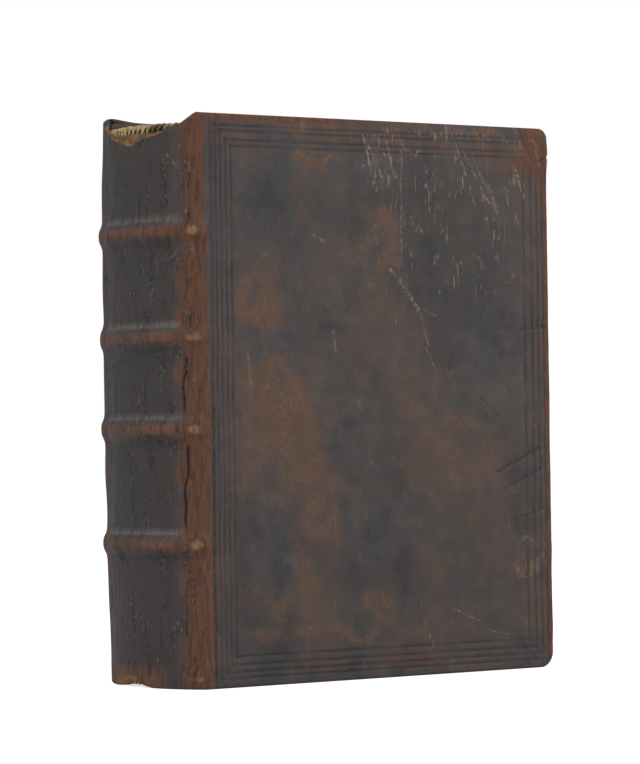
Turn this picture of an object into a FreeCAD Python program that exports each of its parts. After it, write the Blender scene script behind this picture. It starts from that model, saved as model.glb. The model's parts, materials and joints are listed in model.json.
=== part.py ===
import FreeCAD, Part
import os

import Sketcher

# Antique leather book: calf over pasteboards, sewn on four raised cords, standing on its tail.
# X runs from the spine (-X) to the fore-edge (+X), Y from the front cover (-Y) to the back
# cover (+Y) and Z from the tail (0) to the head. The origin is the middle of the tail.

DRIVING_SIZES = {
    # covers, over the leather
    "cover_height": 240.0,
    "cover_width": 194.0,
    "book_thickness": 67.0,
    "head_corner_round": 3.0,
    "tail_corner_round": 7.0,
    "edge_round": 1.2,
    # layers
    "leather": 0.9,
    "turn_in_leather": 0.5,
    "turn_in_width": 15.0,
    "board": 3.6,
    "paper": 0.25,
    "pastedown_margin": 4.0,
    "lining": 0.6,
    # clearances
    "joint_gap": 0.3,
    "glue_line": 0.05,
    "board_setback": 1.0,
    # leaves
    "head_square": 7.5,
    "tail_square": 3.6,
    "fore_edge_square": 4.5,
    "fore_edge_hollow": 7.0,
    "shoulder_round": 0.5,
    # spine
    "spine_round": 10.0,
    "cord_width": 5.2,
    "cord_rise": 2.2,
    "band_foot_round": 1.0,
    "band_1": 59.0,
    "band_2": 107.0,
    "band_3": 145.0,
    "band_4": 189.0,
    "lining_margin": 1.0,
    # endbands and caps
    "head_band_tall": 3.6,
    "tail_band_tall": 2.4,
    "band_thread": 0.5,
    "cap_depth": 4.0,
    # wear at the ends of the spine: depths below the head, and above the tail
    "worn_cap": 4.0,
    "tear_depth": 11.0,
    "tear_place": 5.0,
    "tear_half_width": 16.0,
    "chip_depth": 1.8,
    "chip_place": 10.0,
    "chip_half_width": 11.0,
}

BANDS = ("band_1", "band_2", "band_3", "band_4")
DOME_STEPS = 5
FOOT_STEPS = 2
CORD_STEPS = 4
ENDBAND_SIDES = 6

# Lengths that follow from the driving sizes. The spine is an arc about a vertical axis.
DERIVED_SIZES = {
    "half_thickness": "Sizes.book_thickness / 2",
    "joint_x": "(Sizes.spine_round + Sizes.cord_rise + Sizes.joint_gap / 2 - Sizes.cover_width) / 2",
    "spine_end_x": "Layout.joint_x - Sizes.joint_gap / 2",
    "cover_start_x": "Layout.joint_x + Sizes.joint_gap / 2",
    "board_start_x": "Layout.joint_x + Sizes.board_setback",
    "cover_end_x": "Layout.joint_x + Sizes.cover_width",
    "board_end_x": "Layout.cover_end_x - Sizes.leather",
    "cover_layers": "Sizes.leather + Sizes.board + Sizes.glue_line + Sizes.turn_in_leather + Sizes.paper",
    "leaf_half": "Layout.half_thickness - Layout.cover_layers - Sizes.joint_gap",
    "leaf_tail": "Sizes.tail_square",
    "leaf_head": "Sizes.cover_height - Sizes.head_square",
    "leaf_end_x": "Layout.cover_end_x - Sizes.fore_edge_square",
    "spine_half": "Layout.half_thickness - Sizes.joint_gap",
    "skin_radius": "(Layout.spine_half ^ 2 + Sizes.spine_round ^ 2) / (2 * Sizes.spine_round)",
    "spine_axis_x": "Layout.spine_end_x - Sizes.spine_round + Layout.skin_radius",
    "skin_inner_radius": "Layout.skin_radius - Sizes.leather",
    "lining_radius": "Layout.skin_inner_radius - Sizes.glue_line",
    "lining_inner_radius": "Layout.lining_radius - Sizes.lining",
    "leaf_radius": "Layout.lining_inner_radius - Sizes.glue_line",
    "axis_to_joint": "Layout.spine_axis_x - Layout.spine_end_x",
    "shoulder_half": "sqrt(Layout.leaf_radius ^ 2 - Layout.axis_to_joint ^ 2)",
    "shoulder_foot_x": "Layout.board_start_x - Sizes.joint_gap",
    "spine_sweep": "2 * asin((Layout.spine_half + Sizes.leather) / Layout.skin_inner_radius)",
    "inner_sweep": "2 * asin((Layout.shoulder_half - Sizes.lining_margin) / Layout.leaf_radius)",
    "cord_reach": "Layout.spine_half - 2 * Sizes.leather",
    "cord_sweep": "2 * asin(Layout.cord_reach / (Layout.skin_inner_radius + Sizes.cord_rise))",
    "channel_reach": "Layout.cord_reach + Sizes.glue_line",
    "channel_sweep": "2 * asin(Layout.channel_reach / (Layout.skin_inner_radius + Sizes.cord_rise))",
    "dome_radius": "(Sizes.cord_width ^ 2 / 4 + Sizes.cord_rise ^ 2) / (2 * Sizes.cord_rise)",
    "dome_drop": "Layout.dome_radius - Sizes.cord_rise",
    "dome_turn": "2 * atan(2 * Sizes.cord_rise / Sizes.cord_width)",
    "band_radius": "Layout.dome_radius + Sizes.leather",
    "foot_reach": "Layout.dome_drop + Sizes.leather + Sizes.band_foot_round",
    "foot_span": "Layout.band_radius + Sizes.band_foot_round",
    "band_half": "sqrt(Layout.foot_span ^ 2 - Layout.foot_reach ^ 2)",
    "foot_turn": "acos(Layout.foot_reach / Layout.foot_span)",
}

doc = FreeCAD.newDocument("LeatherBook")


def make_sheet():
    sheet = doc.addObject("Spreadsheet::Sheet", "Sizes")
    for row, (name, size) in enumerate(DRIVING_SIZES.items(), start=1):
        sheet.set(f"A{row}", name.replace("_", " "))
        sheet.set(f"B{row}", str(size))
        sheet.setAlias(f"B{row}", name)
    doc.recompute()
    return sheet


def make_layout():
    layout = doc.addObject("App::FeaturePython", "Layout")
    for name, formula in DERIVED_SIZES.items():
        layout.addProperty("App::PropertyFloat", name, "Derived")
        layout.setExpression(name, formula)
        doc.recompute()
    return layout


sizes = make_sheet()
layout = make_layout()


def value(formula):
    """Number that an expression gives with the present sizes."""
    return float(layout.evalExpression(str(formula)))


def new_body(label):
    body = doc.addObject("PartDesign::Body", label)
    body.Label = label
    return body


def origin_plane(body, role):
    return next(item for item in body.Origin.OriginFeatures if item.Role == role)


def tie(sketch, geometry, end, corner, name):
    """Hold one point of the sketch at a pair of expressions."""
    for kind, axis, formula in (("DistanceX", "across", corner[0]), ("DistanceY", "up", corner[1])):
        index = sketch.addConstraint(
            Sketcher.Constraint(kind, -1, 1, geometry, end, value(formula)))
        sketch.renameConstraint(index, f"{name}_{axis}")
        sketch.setExpression(f"Constraints.{name}_{axis}", str(formula))


def outline(body, name, role, corners, lift="0"):
    """Closed sketch. A corner is (x, y); a third item is the point that an arc to it passes."""
    sketch = body.newObject("Sketcher::SketchObject", name)
    sketch.AttachmentSupport = [(origin_plane(body, role), "")]
    sketch.MapMode = "FlatFace"
    sketch.setExpression("AttachmentOffset.Base.z", str(lift))
    points = [FreeCAD.Vector(value(corner[0]), value(corner[1]), 0) for corner in corners]
    starts = []
    for index, corner in enumerate(corners):
        first, last = points[index - 1], points[index]
        if len(corner) == 2:
            starts.append(1)
            sketch.addGeometry(Part.LineSegment(first, last), False)
        else:
            middle = FreeCAD.Vector(value(corner[2][0]), value(corner[2][1]), 0)
            arc = Part.Arc(first, middle, last)
            sketch.addGeometry(arc, False)
            begins = sketch.getPoint(index, 1).distanceToPoint(first) < 1e-6
            starts.append(1 if begins else 2)
    for index in range(len(corners)):
        ends = 3 - starts[index]
        following = (index + 1) % len(corners)
        sketch.addConstraint(
            Sketcher.Constraint("Coincident", index, ends, following, starts[following]))
        tie(sketch, index, ends, corners[index], f"corner_{index}")
    for index, corner in enumerate(corners):
        if len(corner) == 3:
            middle = FreeCAD.Vector(value(corner[2][0]), value(corner[2][1]), 0)
            point = sketch.addGeometry(Part.Point(middle), True)
            sketch.addConstraint(Sketcher.Constraint("PointOnObject", point, 1, index))
            tie(sketch, point, 1, corner[2], f"arc_{index}")
    doc.recompute()
    return sketch


def rounded(corner_x, corner_y, step_x, step_y, radius):
    """Two outline corners for a rounded corner: steps are the signs of the ways in and out."""
    bulge = f"{radius} * (1 - sqrt(0.5))"
    start = (f"{corner_x} + {step_x[0]} * {radius}", f"{corner_y} + {step_x[1]} * {radius}")
    end = (f"{corner_x} + {step_y[0]} * {radius}", f"{corner_y} + {step_y[1]} * {radius}")
    middle = (f"{corner_x} + {step_x[0] + step_y[0]} * {bulge}",
              f"{corner_y} + {step_x[1] + step_y[1]} * {bulge}")
    return [start, (end[0], end[1], middle)]


def pad(body, name, sketch, length):
    feature = body.newObject("PartDesign::Pad", name)
    feature.Profile = sketch
    feature.setExpression("Length", str(length))
    doc.recompute()
    return feature


def pocket(body, name, sketch, length=None):
    """Cut away from the sketch's normal, or both ways through everything; it must cut."""
    before = body.Shape.Volume
    feature = body.newObject("PartDesign::Pocket", name)
    feature.Profile = sketch
    feature.Refine = False
    if length is None:
        feature.Type = "ThroughAll"
        feature.Midplane = True
    else:
        feature.setExpression("Length", str(length))
    doc.recompute()
    if feature.Shape.Volume >= before:
        raise RuntimeError(f"{name} cuts nothing")
    return feature


def turn(body, kind, name, sketch, sweep):
    """Turn a profile about the spine's vertical axis, as far to the front as to the back."""
    foot = ("Layout.spine_axis_x", "0")
    top = ("Layout.spine_axis_x", "Sizes.cover_height")
    ends = [FreeCAD.Vector(value(across), value(up), 0) for across, up in (foot, top)]
    axis = sketch.addGeometry(Part.LineSegment(*ends), True)
    tie(sketch, axis, 1, foot, "axis_foot")
    tie(sketch, axis, 2, top, "axis_top")
    feature = body.newObject(f"PartDesign::{kind}", name)
    feature.Profile = sketch
    feature.ReferenceAxis = (sketch, ["Axis0"])
    feature.Midplane = True
    feature.Refine = False
    feature.setExpression("Angle", sweep)
    doc.recompute()
    return feature


def spine_turn(body, name, sketch, sweep):
    return turn(body, "Revolution", name, sketch, sweep)


def spine_groove(body, name, sketch, sweep):
    """Cut a profile turned about the spine's axis out of the body; it must cut."""
    before = body.Shape.Volume
    feature = turn(body, "Groove", name, sketch, sweep)
    if feature.Shape.Volume >= before:
        raise RuntimeError(f"{name} cuts nothing")
    return feature


def round_edges(body, name, radius, wanted):
    """Fillet the edges of the body that a test on each edge picks out."""
    base = body.Tip
    names = [f"Edge{number}" for number, edge in enumerate(base.Shape.Edges, start=1) if wanted(edge)]
    feature = body.newObject("PartDesign::Fillet", name)
    feature.Base = (base, names)
    feature.setExpression("Radius", radius)
    doc.recompute()
    return feature


def plate_corners(start_x, end_x, tail, head, tail_round, head_round):
    """Outline of a cover layer, seen from the front: square at the spine, round at the fore-edge."""
    corners = [(start_x, tail)]
    corners += rounded(end_x, tail, (-1, 0), (0, 1), tail_round)
    corners += rounded(end_x, head, (0, -1), (-1, 0), head_round)
    corners += [(start_x, head)]
    return corners


def front_board():
    body = new_body("front_board")
    head = "(Sizes.cover_height - Sizes.leather)"
    corners = plate_corners("Layout.board_start_x", "Layout.board_end_x", "Sizes.leather", head,
                            "(Sizes.tail_corner_round - Sizes.leather)",
                            "(Sizes.head_corner_round - Sizes.leather)")
    inner_face = "Layout.half_thickness - Sizes.leather - Sizes.board"
    pad(body, "BoardPad", outline(body, "BoardOutline", "XZ_Plane", corners, inner_face), "Sizes.board")
    return body


def front_cover_leather():
    """Leather over the board, drawn round its three free edges and turned in."""
    body = new_body("front_cover_leather")
    corners = plate_corners("Layout.cover_start_x", "Layout.cover_end_x", "0", "Sizes.cover_height",
                            "Sizes.tail_corner_round", "Sizes.head_corner_round")
    depth = "(Layout.cover_layers - Sizes.paper)"
    inner_face = f"Layout.half_thickness - {depth}"
    pad(body, "SkinPad", outline(body, "SkinOutline", "XZ_Plane", corners, inner_face), depth)
    outer = -value("Layout.half_thickness")
    start = value("Layout.cover_start_x")

    def on_outer_rim(edge):
        box = edge.BoundBox
        return box.YMax < outer + 1e-3 and box.XMax > start + 1e-3

    round_edges(body, "EdgeRound", "Sizes.edge_round", on_outer_rim)
    past_spine = "(Layout.cover_start_x - Sizes.board)"
    room = plate_corners(past_spine, "Layout.board_end_x", "Sizes.leather",
                         "(Sizes.cover_height - Sizes.leather)",
                         "(Sizes.tail_corner_round - Sizes.leather)",
                         "(Sizes.head_corner_round - Sizes.leather)")
    pocket(body, "BoardRoom",
           outline(body, "RoomOutline", "XZ_Plane", room, "Layout.half_thickness - Sizes.leather"),
           "Sizes.board + Sizes.glue_line")
    window_head = "Sizes.cover_height - Sizes.turn_in_width"
    window_end = "Layout.cover_end_x - Sizes.turn_in_width"
    window = [(past_spine, "Sizes.turn_in_width"), (window_end, "Sizes.turn_in_width"),
              (window_end, window_head), (past_spine, window_head)]
    inside = "Layout.half_thickness - Sizes.leather"
    all_layers = "Sizes.board + Sizes.turn_in_leather + 2 * Sizes.glue_line"
    pocket(body, "TurnInWindow", outline(body, "WindowOutline", "XZ_Plane", window, inside), all_layers)

    # Between the hinge line and the board the leather is one layer, clear of the leaves' shoulder.
    above = "Sizes.cover_height + Sizes.board"
    joint = [(past_spine, "-Sizes.board"), ("Layout.board_start_x", "-Sizes.board"),
             ("Layout.board_start_x", above), (past_spine, above)]
    pocket(body, "JointRoom", outline(body, "JointOutline", "XZ_Plane", joint, inside), all_layers)
    return body


def front_pastedown():
    """Paper pasted down inside the cover: over the turn-ins, and sunk to the board between them."""
    body = new_body("front_pastedown")
    head = "Sizes.cover_height - Sizes.pastedown_margin"
    end = "Layout.cover_end_x - Sizes.pastedown_margin"
    sheet = [("Layout.board_start_x", "Sizes.pastedown_margin"), (end, "Sizes.pastedown_margin"),
             (end, head), ("Layout.board_start_x", head)]
    inner_face = "Layout.half_thickness - Layout.cover_layers"
    pad(body, "SheetPad", outline(body, "SheetOutline", "XZ_Plane", sheet, inner_face), "Sizes.paper")
    rim = "(Sizes.turn_in_width + Sizes.glue_line)"
    sunk_head = f"Sizes.cover_height - {rim}"
    sunk_end = f"Layout.cover_end_x - {rim}"
    sunk = [("Layout.board_start_x", rim), (sunk_end, rim),
            (sunk_end, sunk_head), ("Layout.board_start_x", sunk_head)]
    pad(body, "SunkPad", outline(body, "SunkOutline", "XZ_Plane", sunk, inner_face),
        "Sizes.paper + Sizes.turn_in_leather")
    return body


def mirrored(front_body, label):
    """The back cover's piece: the front one mirrored through the middle of the leaves."""
    piece = doc.addObject("Part::Mirroring", label)
    piece.Label = label
    piece.Source = front_body
    piece.Normal = FreeCAD.Vector(0, 1, 0)
    doc.recompute()
    return piece


def text_block():
    """The sewn leaves, one solid: rounded back, backed shoulders and hollow fore-edge."""
    body = new_body("text_block")
    spine_x = "Layout.spine_end_x"
    back_x = "Layout.spine_axis_x - Layout.leaf_radius"
    hollow_x = "Layout.leaf_end_x - Sizes.fore_edge_hollow"
    corners = [
        (spine_x, "-Layout.shoulder_half"),
        ("Layout.shoulder_foot_x", "-Layout.leaf_half"),
        ("Layout.leaf_end_x", "-Layout.leaf_half"),
        ("Layout.leaf_end_x", "Layout.leaf_half", (hollow_x, "0")),
        ("Layout.shoulder_foot_x", "Layout.leaf_half"),
        (spine_x, "Layout.shoulder_half"),
    ]
    corners[0] = corners[0] + ((back_x, "0"),)
    pad(body, "LeafPad", outline(body, "LeafOutline", "XY_Plane", corners, "Layout.leaf_tail"),
        "Layout.leaf_head - Layout.leaf_tail")
    foot = value("Layout.shoulder_foot_x")
    tip = value("Layout.spine_end_x")

    def at_shoulder(edge):
        box = edge.BoundBox
        upright = box.ZLength > 1 and box.XLength < 1e-3
        return upright and (abs(box.XMin - foot) < 1e-3 or abs(box.XMin - tip) < 1e-3)

    round_edges(body, "ShoulderRound", "Sizes.shoulder_round", at_shoulder)
    return body


def spine_leather():
    """Leather of a tight back, moulded over the cords, its head cap torn and its tail cap kept."""
    body = new_body("spine_leather")
    outer_x = "Layout.spine_axis_x - Layout.skin_radius"
    inner_x = "Layout.spine_axis_x - Layout.skin_inner_radius"
    corners = [(outer_x, "0")]
    for band in BANDS:
        corners += band_corners(outer_x, f"Sizes.{band}")
    corners += [(outer_x, "Sizes.cover_height"), (inner_x, "Sizes.cover_height")]
    for band in reversed(BANDS):
        corners.append((inner_x, f"Sizes.{band} + Sizes.cord_width / 2"))
        corners.append((inner_x, f"Sizes.{band} - Sizes.cord_width / 2"))
    corners += [(inner_x, "Sizes.leather"),
                (f"{inner_x} + Sizes.cap_depth", "Sizes.leather"),
                (f"{inner_x} + Sizes.cap_depth", "0")]
    sketch = outline(body, "SkinProfile", "XZ_Plane", corners)
    spine_turn(body, "SkinTurn", sketch, "Layout.spine_sweep")

    for band in BANDS:
        channel = cord_section(body, f"{band}_channel", band, None, "0")
        spine_groove(body, f"{band}_room", channel, "Layout.channel_sweep")

    # The joints are cut square: nothing of the spine passes the hinge lines or the covers' faces.
    far = "Sizes.book_thickness"
    beyond = "Layout.spine_end_x + Sizes.book_thickness"
    behind = "Layout.spine_end_x - Sizes.book_thickness"
    joints = [("Layout.spine_end_x", f"-{far}"), (beyond, f"-{far}"), (beyond, far),
              ("Layout.spine_end_x", far)]
    pocket(body, "JointTrim", outline(body, "JointOutline", "XY_Plane", joints))
    for name, side in (("Front", "-"), ("Back", "")):
        edge_y = f"{side}Layout.spine_half"
        strip = [(behind, edge_y), (beyond, edge_y), (beyond, f"{side}{far}"), (behind, f"{side}{far}")]
        pocket(body, f"{name}Trim", outline(body, f"{name}TrimOutline", "XY_Plane", strip))
    pocket(body, "HeadTear", head_tear(body))
    pocket(body, "TailChip", tail_chip(body))
    return body


def arc_corners(middle_x, middle_z, radius, first, last, steps):
    """Evenly turned corners on an arc. Angles run from the -X side, positive upwards."""
    angles = [f"(({first}) + (({last}) - ({first})) * {step} / {steps})" for step in range(steps + 1)]
    return [(f"{middle_x} - {radius} * cos({angle})", f"{middle_z} + {radius} * sin({angle})")
            for angle in angles]


def band_corners(wall_x, middle_z):
    """A raised band on the wall's outline: a dome with a hollow foot below and above it."""
    foot = "Sizes.band_foot_round"
    foot_x = f"({wall_x} - {foot})"
    dome_x = f"({wall_x} + Layout.dome_drop + Sizes.leather)"
    turned = "Layout.foot_turn"
    low = arc_corners(foot_x, f"({middle_z} - Layout.band_half)", foot, "180", f"180 - {turned}", FOOT_STEPS)
    dome = arc_corners(dome_x, middle_z, "Layout.band_radius", f"-{turned}", turned, DOME_STEPS)
    high = arc_corners(foot_x, f"({middle_z} + Layout.band_half)", foot, f"180 + {turned}", "180", FOOT_STEPS)
    return low[:-1] + dome + high[1:]


def head_tear(body):
    """The lost part of the head cap, seen along X: worn low, with a ragged notch beside the middle."""
    head = "Sizes.cover_height"
    worn = f"{head} - Sizes.worn_cap"
    place = "Sizes.tear_place"
    half = "Sizes.tear_half_width"
    depth = "Sizes.tear_depth"
    above = f"{head} + Sizes.worn_cap"
    corners = [
        ("-(Layout.spine_half - Sizes.leather)", above),
        ("-(Layout.spine_half - Sizes.leather)", head),
        ("-0.8 * Layout.spine_half", worn),
        (f"{place} - {half}", worn),
        (f"{place} - 0.62 * {half}", f"{head} - 0.78 * {depth}"),
        (place, f"{head} - {depth}"),
        (f"{place} + 0.35 * {half}", f"{head} - 0.8 * {depth}"),
        (f"{place} + {half}", f"{head} - 0.5 * {depth}"),
        ("0.8 * Layout.spine_half", worn),
        ("Layout.spine_half - Sizes.leather", head),
        ("Layout.spine_half - Sizes.leather", above),
    ]
    return outline(body, "TearOutline", "YZ_Plane", corners)


def tail_chip(body):
    """A shallow chip out of the tail edge of the leather, seen along X."""
    place = "Sizes.chip_place"
    half = "Sizes.chip_half_width"
    below = "-Sizes.chip_depth"
    corners = [
        (f"{place} - {half}", below),
        (f"{place} + {half}", below),
        (f"{place} + {half}", "0"),
        (f"{place} + 0.5 * {half}", "0.7 * Sizes.chip_depth"),
        (f"{place} - 0.2 * {half}", "Sizes.chip_depth"),
        (f"{place} - {half}", "0"),
    ]
    return outline(body, "ChipOutline", "YZ_Plane", corners)


def sewing_cord(number, band):
    """One raised cord across the back of the leaves, flat where it is glued and sewn to them."""
    body = new_body(f"sewing_cord_{number}")
    back_x = "(Layout.spine_axis_x - Layout.leaf_radius - Sizes.glue_line)"
    sketch = cord_section(body, "CordProfile", band, back_x, "Sizes.glue_line")
    spine_turn(body, "CordTurn", sketch, "Layout.cord_sweep")
    return body


def cord_section(body, name, band, back_x, slack):
    """Section of a cord, or of its room in the leather: domed outside, and flat at back_x."""
    dome_x = "(Layout.spine_axis_x - Layout.skin_inner_radius + Layout.dome_drop)"
    corners = arc_corners(dome_x, f"Sizes.{band}", f"(Layout.dome_radius - {slack})",
                          "-Layout.dome_turn", "Layout.dome_turn", CORD_STEPS)
    if back_x:
        corners = [(back_x, corners[0][1])] + corners + [(back_x, corners[-1][1])]
    return outline(body, name, "XZ_Plane", corners)


def spine_lining(number, foot, top):
    """Paper lining glued to the back of the leaves between two cords."""
    body = new_body(f"spine_lining_{number}")
    inner_x = "Layout.spine_axis_x - Layout.lining_inner_radius"
    outer_x = "Layout.spine_axis_x - Layout.lining_radius"
    corners = [(inner_x, foot), (outer_x, foot), (outer_x, top), (inner_x, top)]
    spine_turn(body, "LiningTurn", outline(body, "LiningProfile", "XZ_Plane", corners),
               "Layout.inner_sweep")
    return body


def endband(end, foot, tall):
    """Endband on the leaves: a core, and the sleeve of thread that is wound round it."""
    outer = f"({tall} / 2)"
    middle_x = f"(Layout.spine_axis_x - Layout.leaf_radius + {outer})"
    middle_z = f"({foot} + {outer})"
    pieces = []
    for part, radius, hole in (("core", f"({outer} - Sizes.band_thread - Sizes.glue_line)", None),
                               ("thread", outer, f"({outer} - Sizes.band_thread)")):
        body = new_body(f"{end}_endband_{part}")
        corners = ring_corners(middle_x, middle_z, radius)
        spine_turn(body, "BandTurn", outline(body, "BandProfile", "XZ_Plane", corners),
                   "Layout.inner_sweep")
        if hole:
            bore = outline(body, "BoreProfile", "XZ_Plane", ring_corners(middle_x, middle_z, hole))
            spine_groove(body, "BandBore", bore, "Layout.spine_sweep")
        pieces.append(body)
    return pieces


def ring_corners(middle_x, middle_z, radius):
    """A many-sided ring with flats below and above, radius away from its middle."""
    half_side = 180 / ENDBAND_SIDES
    ring = arc_corners(middle_x, middle_z, f"{radius} / cos({half_side})",
                       f"90 + {half_side}", f"450 + {half_side}", ENDBAND_SIDES)
    return ring[:-1]


def make_covers():
    pieces = []
    for front in (front_board(), front_cover_leather(), front_pastedown()):
        pieces.append(front)
        pieces.append(mirrored(front, front.Label.replace("front", "back")))
    return pieces


def make_linings():
    margin = "Sizes.cord_width / 2"
    feet = ["Layout.leaf_tail"] + [f"Sizes.{band} + {margin}" for band in BANDS]
    tops = [f"Sizes.{band} - {margin}" for band in BANDS] + ["Layout.leaf_head"]
    return [spine_lining(number, foot, top) for number, (foot, top) in enumerate(zip(feet, tops), 1)]


def make_spine():
    pieces = [text_block(), spine_leather()]
    pieces += [sewing_cord(number, band) for number, band in enumerate(BANDS, start=1)]
    pieces += make_linings()
    pieces += endband("head", "Layout.leaf_head", "Sizes.head_band_tall")
    pieces += endband("tail", "(Layout.leaf_tail - Sizes.tail_band_tall)", "Sizes.tail_band_tall")
    return pieces


def check_and_write(pieces):
    doc.recompute()
    for item in doc.Objects:
        if "Invalid" in item.State or "Error" in item.State:
            raise RuntimeError(f"{item.Name} failed")
    for piece in pieces:
        if piece.Shape.isNull() or not piece.Shape.isValid() or not piece.Shape.Solids:
            raise RuntimeError(f"{piece.Label} has no sound shape")
    os.makedirs("parts", exist_ok=True)
    for piece in pieces:
        piece.Shape.exportStep(os.path.join("parts", f"{piece.Label}.step"))


check_and_write(make_covers() + make_spine())
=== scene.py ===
import json
import math

import bpy
import numpy as np
from bpy.props import FloatProperty, PointerProperty
from mathutils import Matrix, Vector


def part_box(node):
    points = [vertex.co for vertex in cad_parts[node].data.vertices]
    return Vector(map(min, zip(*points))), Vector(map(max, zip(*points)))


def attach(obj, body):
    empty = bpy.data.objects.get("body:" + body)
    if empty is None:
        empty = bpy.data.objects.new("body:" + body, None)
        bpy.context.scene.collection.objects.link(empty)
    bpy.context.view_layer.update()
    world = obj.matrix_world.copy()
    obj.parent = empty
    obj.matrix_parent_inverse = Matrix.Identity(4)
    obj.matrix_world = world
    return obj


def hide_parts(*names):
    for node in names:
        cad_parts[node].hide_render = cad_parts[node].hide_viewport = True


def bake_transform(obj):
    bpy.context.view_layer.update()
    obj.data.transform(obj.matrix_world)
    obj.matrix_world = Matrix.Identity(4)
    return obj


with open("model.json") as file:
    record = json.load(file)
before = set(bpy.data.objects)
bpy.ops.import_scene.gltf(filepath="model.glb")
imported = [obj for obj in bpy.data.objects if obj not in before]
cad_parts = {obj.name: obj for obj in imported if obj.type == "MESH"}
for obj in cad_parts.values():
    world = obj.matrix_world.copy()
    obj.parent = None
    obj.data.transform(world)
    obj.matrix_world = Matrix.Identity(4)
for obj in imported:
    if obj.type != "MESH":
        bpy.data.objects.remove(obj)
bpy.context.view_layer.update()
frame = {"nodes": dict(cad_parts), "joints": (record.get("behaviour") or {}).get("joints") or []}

bl_info = {
    "name": "Antique leather book",
    "version": (1, 0, 0),
    "blender": (4, 5, 0),
    "location": "3D View > Sidebar > Book",
    "description": "Worn calf, torn endband, leaves and studio for the packed book",
    "category": "Object",
}

MM = 0.001

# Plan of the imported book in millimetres: the hinge lines, the cover faces and the spine's arc.
COVER_LOW, COVER_HIGH = (np.array(corner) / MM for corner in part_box("front_cover_leather"))
SPINE_LOW, SPINE_HIGH = (np.array(corner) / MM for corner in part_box("spine_leather"))
LEAF_LOW, LEAF_HIGH = (np.array(corner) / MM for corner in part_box("text_block"))
FACE = -COVER_LOW[1]
HEIGHT = COVER_HIGH[2]
JOINT = frame["joints"][0]["pos_m"][0] / MM
WIDTH = COVER_HIGH[0] - JOINT
SPINE_HALF = SPINE_HIGH[1]
CORD_RISE = 2.2
ROUND = (SPINE_HIGH[0] - SPINE_LOW[0]) - CORD_RISE
BACK_RADIUS = (SPINE_HALF ** 2 + ROUND ** 2) / (2 * ROUND)
AXIS = SPINE_HIGH[0] - ROUND + BACK_RADIUS
LEAF_RADIUS = AXIS - LEAF_LOW[0]

# Middles of the raised bands above the tail, where the skin has ridden up over the cords.
BANDS = [60.1, 108.1, 146.5, 190.7]

# Rounds and edges of the calf: at the joint, over a board's edge, the edge's whole width, how far
# it turns down inside, the edge's width on the spine and where the head cap is torn, and corners.
JOINT_ROUND = 2.4
EDGE_ROUND = 1.2
RIM = 4.95
RIM_DOWN = 0.8
SPINE_RIM = 2.6
TORN_RIM = 0.8
HEAD_CORNER = 4.5
TAIL_CORNER = 7.0
TURN_IN = 15.0

# Half thickness of the leaves between their shoulders, and of an endband's arc.
COVER_LEAF_HALF = 27.9
ENDBAND_HALF = 29.0

# The calf's two halves meet on the spine, this far from the back joint.
SEAM = 6.5

# Blind lines of the covers: distances from the joint, the tail, the fore-edge and the head.
LINES = {
    "joint": (8.2, 10.8, 13.5, 16.2),
    "tail": (3.9, 6.5, 9.5, 12.9),
    "fore_edge": (3.6, 6.9, 10.5, 14.9),
    "head": (5.2, 7.4, 11.2, 13.7),
}

# The torn head edge of the spine: how far round the spine from the front joint, and its height.
TEAR = np.array([
    (-72.0, 239.8), (-67.0, 239.0), (-63.0, 236.6), (-58.5, 235.0), (-55.5, 233.4), (-52.0, 232.2),
    (-49.0, 231.6), (-46.0, 231.1), (-43.0, 230.8), (-40.5, 230.2), (-38.0, 229.8), (-36.0, 229.4),
    (-34.0, 229.8), (-32.5, 230.5), (-30.5, 231.0), (-28.0, 231.2), (-24.0, 231.7), (-19.5, 232.5),
    (-17.0, 233.5), (-14.5, 234.6), (-9.0, 235.4), (-6.5, 237.0), (-3.4, 239.2),
    (-1.2, 240.2), (1.0, 240.0),
])

# The chipped tail edge of the spine, in the same way.
CHIP = np.array([
    (-60.0, 0.0), (-52.0, 0.4), (-45.0, 1.5), (-41.0, 2.2), (-36.5, 2.3), (-33.0, 1.0), (-27.8, 0.1),
    (-22.0, 0.0),
])

# Edges of the rubbed strip at the front joint: height, and distance past the joint.
RUB_ON_SPINE = np.array([(0, -9.5), (60, -8.5), (110, -10.5), (145, -9.5), (185, -10), (200, -7.5),
                         (222, -6.5), (240, -13)])
RUB_ON_COVER = np.array([(0, 4.6), (60, 4.6), (120, 4.4), (160, 3.2), (190, 2.2), (240, 3.0)])

# Soft patches of the covers: x from the hinge line, height, two half sizes and a strength.
BROWN = {
    "front": [
        (30, 161, 11, 15, 0.9), (34, 130, 16, 10, 0.85), (45, 108, 24, 24, 0.95), (62, 92, 15, 12, 0.75),
        (24, 92, 8, 26, 0.6), (62, 222, 14, 3.4, 0.95), (96, 184, 12, 15, 0.75), (84, 170, 26, 18, 0.5),
        (57, 62, 13, 18, 0.85), (50, 38, 30, 13, 0.55), (76, 22, 30, 6.5, 0.9), (30, 24, 12, 7, 0.7),
        (150, 92, 34, 24, 0.5), (128, 100, 28, 32, 0.5), (100, 130, 28, 22, 0.45), (168, 226, 12, 10, 0.8),
        (178, 231, 18, 11, 1.0), (189, 220, 9, 20, 1.0), (50, 235, 42, 4.5, 0.85), (90, 76, 12, 18, 0.45),
        (190, 120, 4, 90, 0.6), (182, 40, 12, 28, 0.5), (118, 20, 42, 8, 0.45), (20, 205, 5, 30, 0.3),
        (130, 235, 44, 4.0, 0.5), (140, 60, 30, 30, 0.4), (10, 90, 5, 90, 0.35),
    ],
    "back": [(60, 150, 45, 38, 0.8), (120, 90, 40, 50, 0.7), (40, 60, 26, 30, 0.7), (150, 190, 30, 24, 0.6)],
}
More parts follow.
